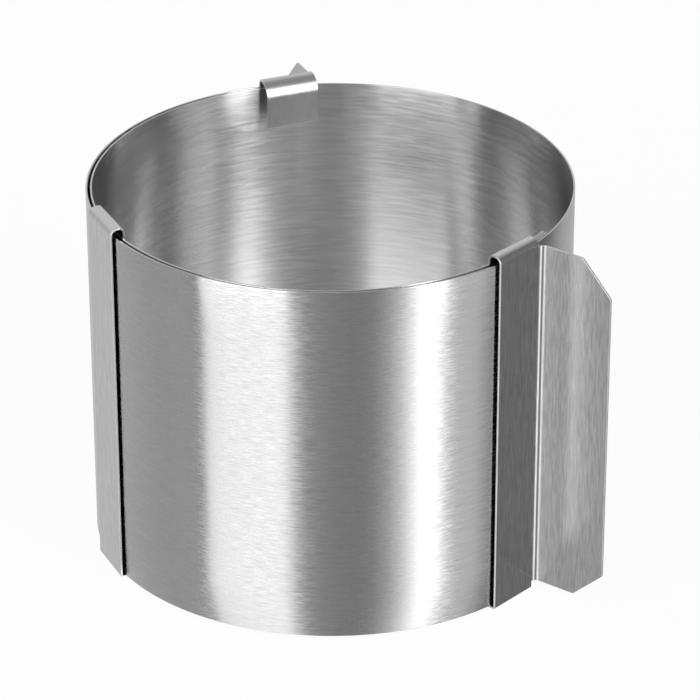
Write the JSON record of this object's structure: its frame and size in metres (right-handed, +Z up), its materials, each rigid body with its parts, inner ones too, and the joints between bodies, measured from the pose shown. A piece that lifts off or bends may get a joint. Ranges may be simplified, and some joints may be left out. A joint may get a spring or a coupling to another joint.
{
  "type": "adjustable cake ring",
  "caption": "Tall adjustable baking ring of brushed stainless steel strip, with finger-flanged clips that slide along the overlap to set its width.",
  "frame": {"origin": "middle of the object's bounds in plan, on the surface that it stands on", "axes": "+Z up along the ring's axis, -Y towards the picture's viewer, +X to the viewer's right"},
  "size_m": [0.1624, 0.1832, 0.1238],
  "materials": {
    "outer_strip": "brushed round the ring",
    "inner_strip": "brushed round the ring",
    "clip_sheet": "brushed upright"
  },
  "bodies": {
    "inner_ring": {"inner_band": "inner_strip", "front_handle": "clip_sheet"},
    "outer_ring": {"outer_band": "outer_strip", "rear_handle": "clip_sheet"},
    "loose_clip": {"side_clip": "clip_sheet"}
  },
  "joints": [
    {"name": "size_adjust", "type": "hinge", "parent": "inner_ring", "child": "outer_ring", "pos_m": [-0.00373, -0.01408, 0.061], "axis": [0, 0, 1], "range_deg": [-10, 170]},
    {"name": "side_clip_slide", "type": "hinge", "parent": "inner_ring", "child": "loose_clip", "pos_m": [-0.00373, -0.01408, 0.061], "axis": [0, 0, 1], "range_deg": [-5, 85]}
  ],
  "couplings": [
    {"joint": "side_clip_slide", "follows": "size_adjust", "ratio": 0.5}
  ]
}
